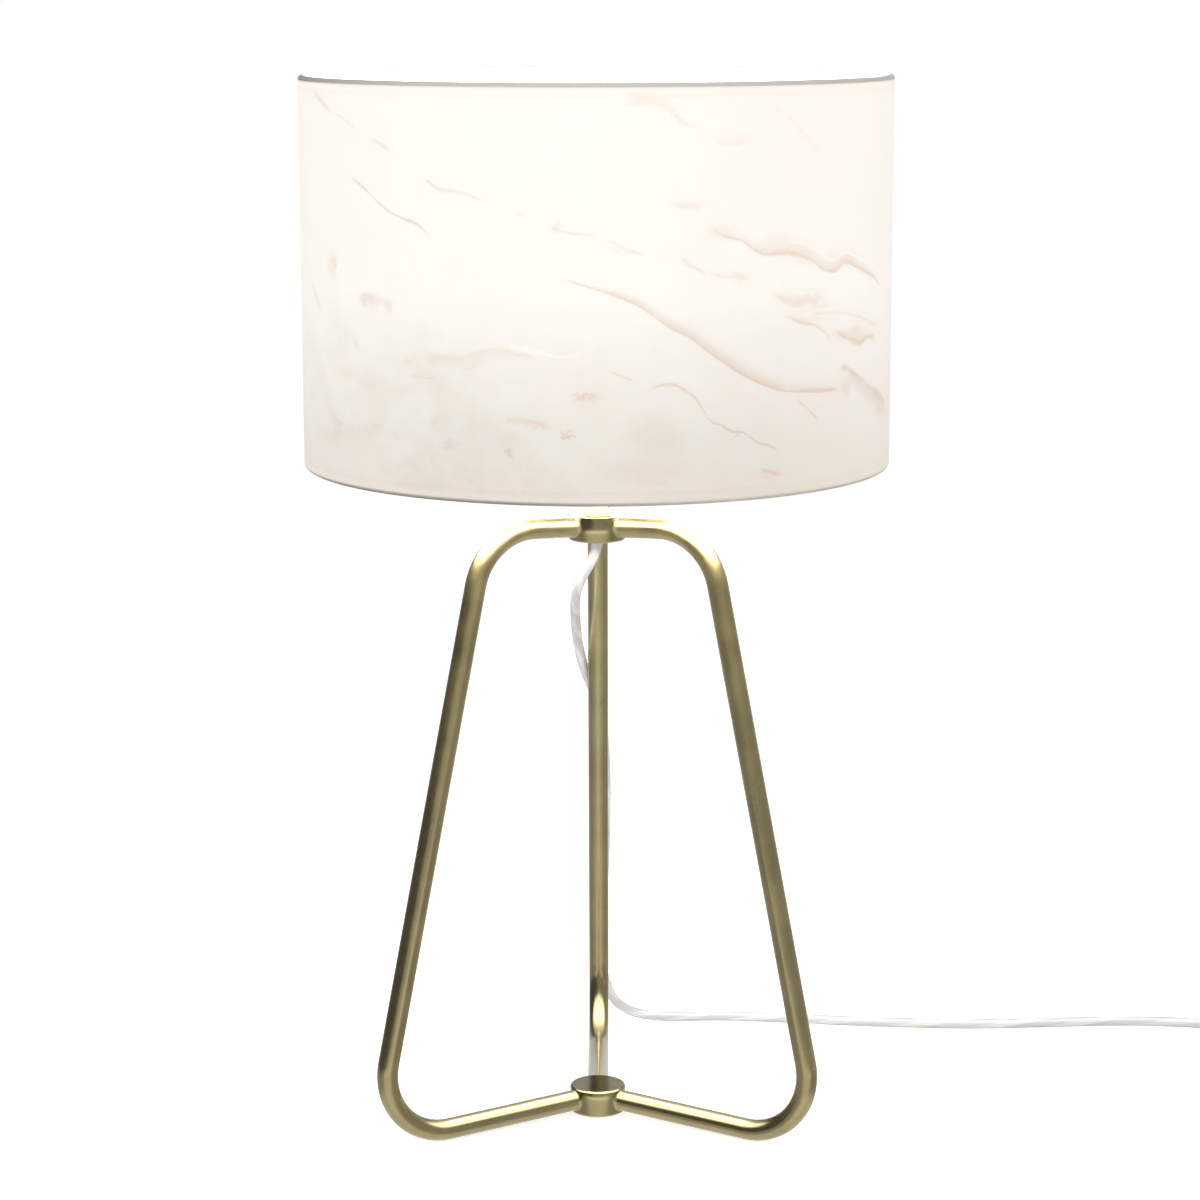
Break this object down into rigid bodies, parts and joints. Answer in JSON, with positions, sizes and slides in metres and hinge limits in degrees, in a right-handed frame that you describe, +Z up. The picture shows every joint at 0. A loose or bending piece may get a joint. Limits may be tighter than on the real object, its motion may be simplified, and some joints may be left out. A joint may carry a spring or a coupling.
{
  "type": "table lamp",
  "caption": "Table lamp with a bent tube tripod frame, a marble patterned drum shade, a screw lampholder with a bulb, and a lead with a rocker switch and a plug.",
  "frame": {"origin": "the lamp's axis at table level", "axes": "+Z up along the axis of the shade, +Y from the front of the lamp towards its rear leg, +X to the right seen from the front"},
  "size_m": [0.6157, 0.3077, 0.5475],
  "materials": {
    "satin_brass": "satin",
    "zinc_steel": "zinc plated",
    "bright_brass": "bright",
    "nickel_pins": "polished nickel",
    "holder_plastic": "matt",
    "porcelain": "unglazed",
    "core_insulation": "matt",
    "marble_print": "printed, matt",
    "white_liner": "matt",
    "black_glass": "glossy",
    "bulb_plastic": "matt",
    "bulb_board": "matt",
    "opal_globe": "opal",
    "clear_pvc": "clear, glossy",
    "dark_plastic": "matt",
    "switch_plastic": "satin"
  },
  "bodies": {
    "stand": {"left_leg_tube": "satin_brass", "right_leg_tube": "satin_brass", "rear_leg_tube": "satin_brass", "top_hub": "satin_brass", "bottom_hub": "satin_brass", "hub_washer": "zinc_steel", "hub_lock_nut": "zinc_steel", "threaded_nipple": "zinc_steel", "cord_bushing": "clear_pvc", "neck_sleeve": "satin_brass", "lampholder_cap": "holder_plastic", "cap_grub_screw": "zinc_steel", "lampholder_core": "porcelain", "terminal_blocks": "bright_brass", "terminal_screws": "zinc_steel", "core_wires": "core_insulation", "centre_contact": "bright_brass", "side_contact": "bright_brass", "thread_shell": "bright_brass", "lampholder_body": "holder_plastic", "cord_lead": "clear_pvc", "cord_coil_lead": "clear_pvc", "cord_coil": "clear_pvc", "cord_plug_lead": "clear_pvc", "cord_tie": "dark_plastic", "switch_base": "switch_plastic", "switch_cover": "switch_plastic", "switch_contacts": "bright_brass", "switch_clamps": "switch_plastic", "switch_screws": "zinc_steel", "plug_body": "switch_plastic", "plug_strain_relief": "switch_plastic", "plug_pins": "nickel_pins", "plug_pin_sleeves": "dark_plastic"},
    "shade": {"fitter_ring": "zinc_steel", "spider_arms": "zinc_steel", "shade_bottom_wire": "zinc_steel", "shade_top_wire": "zinc_steel", "shade_liner": "white_liner", "shade_cover": "marble_print", "shade_top_hem": "marble_print", "shade_bottom_hem": "marble_print"},
    "clamp_ring": {"shade_clamp_ring": "holder_plastic"},
    "bulb": {"bulb_tip_contact": "zinc_steel", "bulb_insulator": "black_glass", "bulb_screw_shell": "zinc_steel", "bulb_housing": "bulb_plastic", "bulb_led_board": "bulb_board", "bulb_globe": "opal_globe"},
    "rocker": {"switch_rocker": "switch_plastic"}
  },
  "joints": [
    {"name": "shade_swivel", "type": "hinge", "parent": "stand", "child": "shade", "pos_m": [0, 0, 0.365], "axis": [0, 0, 1], "continuous": true},
    {"name": "clamp_ring_off", "type": "slide", "parent": "stand", "child": "clamp_ring", "axis": [0, 0, 1], "range_m": [0, 0.012]},
    {"name": "bulb_out", "type": "slide", "parent": "stand", "child": "bulb", "axis": [0, 0, 1], "range_m": [0, 0.03]},
    {"name": "switch_rock", "type": "hinge", "parent": "stand", "child": "rocker", "pos_m": [0.39, 0.056, 0.0145], "axis": [1, 0, 0], "range_deg": [-16, 0]}
  ]
}
